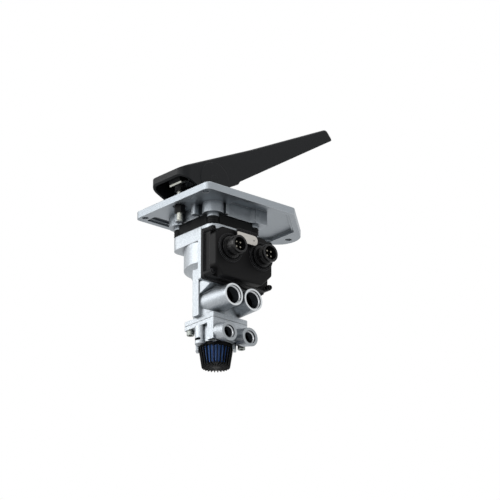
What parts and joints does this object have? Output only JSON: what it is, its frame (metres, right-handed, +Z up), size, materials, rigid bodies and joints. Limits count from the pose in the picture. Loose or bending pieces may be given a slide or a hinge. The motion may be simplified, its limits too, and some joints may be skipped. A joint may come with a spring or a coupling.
{
  "type": "foot brake module with pedal travel sensor",
  "caption": "Heavy vehicle foot brake module: treadle pedal on a cast plate, a two-circuit air valve under it and a sensor box that reads the pedal's travel.",
  "frame": {"origin": "on the valve axis, in the plane of the mounting plate's underside", "axes": "+X from the pedal's heel to its toe, -Y the side with the ports and connectors, +Z up along the valve axis"},
  "size_m": [0.2625, 0.1545, 0.3671],
  "materials": {
    "pedal_paint": "satin black powder coat with a fine orange peel",
    "cast_aluminium": "as cast, fine matt grain",
    "spacer_black": "moulded black, matt",
    "sensor_black": "moulded black, matt, fine spark texture",
    "rubber_black": "moulded rubber, matt",
    "zinc_steel": "bright zinc plate",
    "bolt_steel": "zinc flake, dull",
    "spring_steel": "oiled spring steel",
    "machined_aluminium": "turned",
    "plunger_steel": "ground",
    "guide_plastic": "natural acetal",
    "roller_plastic": "grey polyamide",
    "contact_brass": "bright plated",
    "label_paper": "bare cream plate",
    "filter_felt": "blue felt",
    "gasket_grey": "fibre gasket"
  },
  "bodies": {
    "housing": {"base_plate": "cast_aluminium", "plunger_guide": "guide_plastic", "spacer_block": "spacer_black", "flange_bushes": "spacer_black", "valve_bolts": "bolt_steel", "upper_housing": "cast_aluminium", "pair_gasket": "gasket_grey", "lower_housing": "cast_aluminium", "pair_bolts": "bolt_steel", "silencer_cage": "sensor_black", "silencer_filter": "filter_felt", "valve_carrier": "guide_plastic", "exhaust_guide": "guide_plastic", "piston_spring": "spring_steel", "relay_spring": "spring_steel", "upper_valve_spring": "spring_steel", "lower_valve_spring": "spring_steel", "gaiter": "rubber_black", "graduating_spring": "rubber_black", "sensor_base": "sensor_black", "sensor_screws": "bolt_steel", "sensor_cover": "sensor_black", "left_connector": "sensor_black", "right_connector": "sensor_black", "left_contacts": "contact_brass", "right_contacts": "contact_brass", "label_carrier": "sensor_black", "label_plate": "label_paper", "pivot_pin": "plunger_steel", "stop_stud": "zinc_steel", "stop_lock_nut": "zinc_steel", "stop_collar_nut": "zinc_steel", "stop_buffer": "rubber_black"},
    "pedal_arm": {"pedal": "pedal_paint", "pivot_caps": "pedal_paint", "roller_pin": "plunger_steel", "stop_striker": "zinc_steel"},
    "pedal_roller": {"roller": "roller_plastic"},
    "push_rod": {"plunger": "plunger_steel", "spring_plate": "zinc_steel", "sensor_target": "contact_brass"},
    "primary_piston": {"upper_piston": "machined_aluminium", "upper_piston_seal": "rubber_black"},
    "primary_valve": {"upper_valve": "rubber_black"},
    "secondary_piston": {"relay_piston": "machined_aluminium", "relay_piston_seal": "rubber_black"},
    "secondary_valve": {"lower_valve": "rubber_black"}
  },
  "joints": [
    {"name": "pedal_pivot", "type": "hinge", "parent": "housing", "child": "pedal_arm", "pos_m": [-0.032, 0, 0.0345], "axis": [0, 1, 0], "range_deg": [0, 18], "stiffness_Nm_per_rad": 3, "springref_deg": -20.05},
    {"name": "roller_spin", "type": "hinge", "parent": "pedal_arm", "child": "pedal_roller", "pos_m": [0, 0, 0.0345], "axis": [0, 1, 0], "continuous": true},
    {"name": "plunger_slide", "type": "slide", "parent": "housing", "child": "push_rod", "axis": [0, 0, -1], "range_m": [0, 0.01006], "deforming": ["gaiter", "graduating_spring"]},
    {"name": "primary_piston_slide", "type": "slide", "parent": "housing", "child": "primary_piston", "axis": [0, 0, -1], "range_m": [0, 0.00301], "deforming": ["piston_spring"]},
    {"name": "primary_valve_slide", "type": "slide", "parent": "housing", "child": "primary_valve", "axis": [0, 0, -1], "range_m": [0, 0.00201], "deforming": ["upper_valve_spring"]},
    {"name": "secondary_piston_slide", "type": "slide", "parent": "housing", "child": "secondary_piston", "axis": [0, 0, -1], "range_m": [0, 0.00301], "deforming": ["relay_spring"]},
    {"name": "secondary_valve_slide", "type": "slide", "parent": "housing", "child": "secondary_valve", "axis": [0, 0, -1], "range_m": [0, 0.00201], "deforming": ["lower_valve_spring"]}
  ],
  "couplings": [
    {"joint": "plunger_slide", "follows": "pedal_pivot", "m_per_rad": 0.032},
    {"joint": "primary_piston_slide", "follows": "pedal_pivot", "m_per_rad": 0.0095493},
    {"joint": "primary_valve_slide", "follows": "pedal_pivot", "m_per_rad": 0.0063662},
    {"joint": "secondary_piston_slide", "follows": "pedal_pivot", "m_per_rad": 0.0095493},
    {"joint": "secondary_valve_slide", "follows": "pedal_pivot", "m_per_rad": 0.0063662}
  ]
}
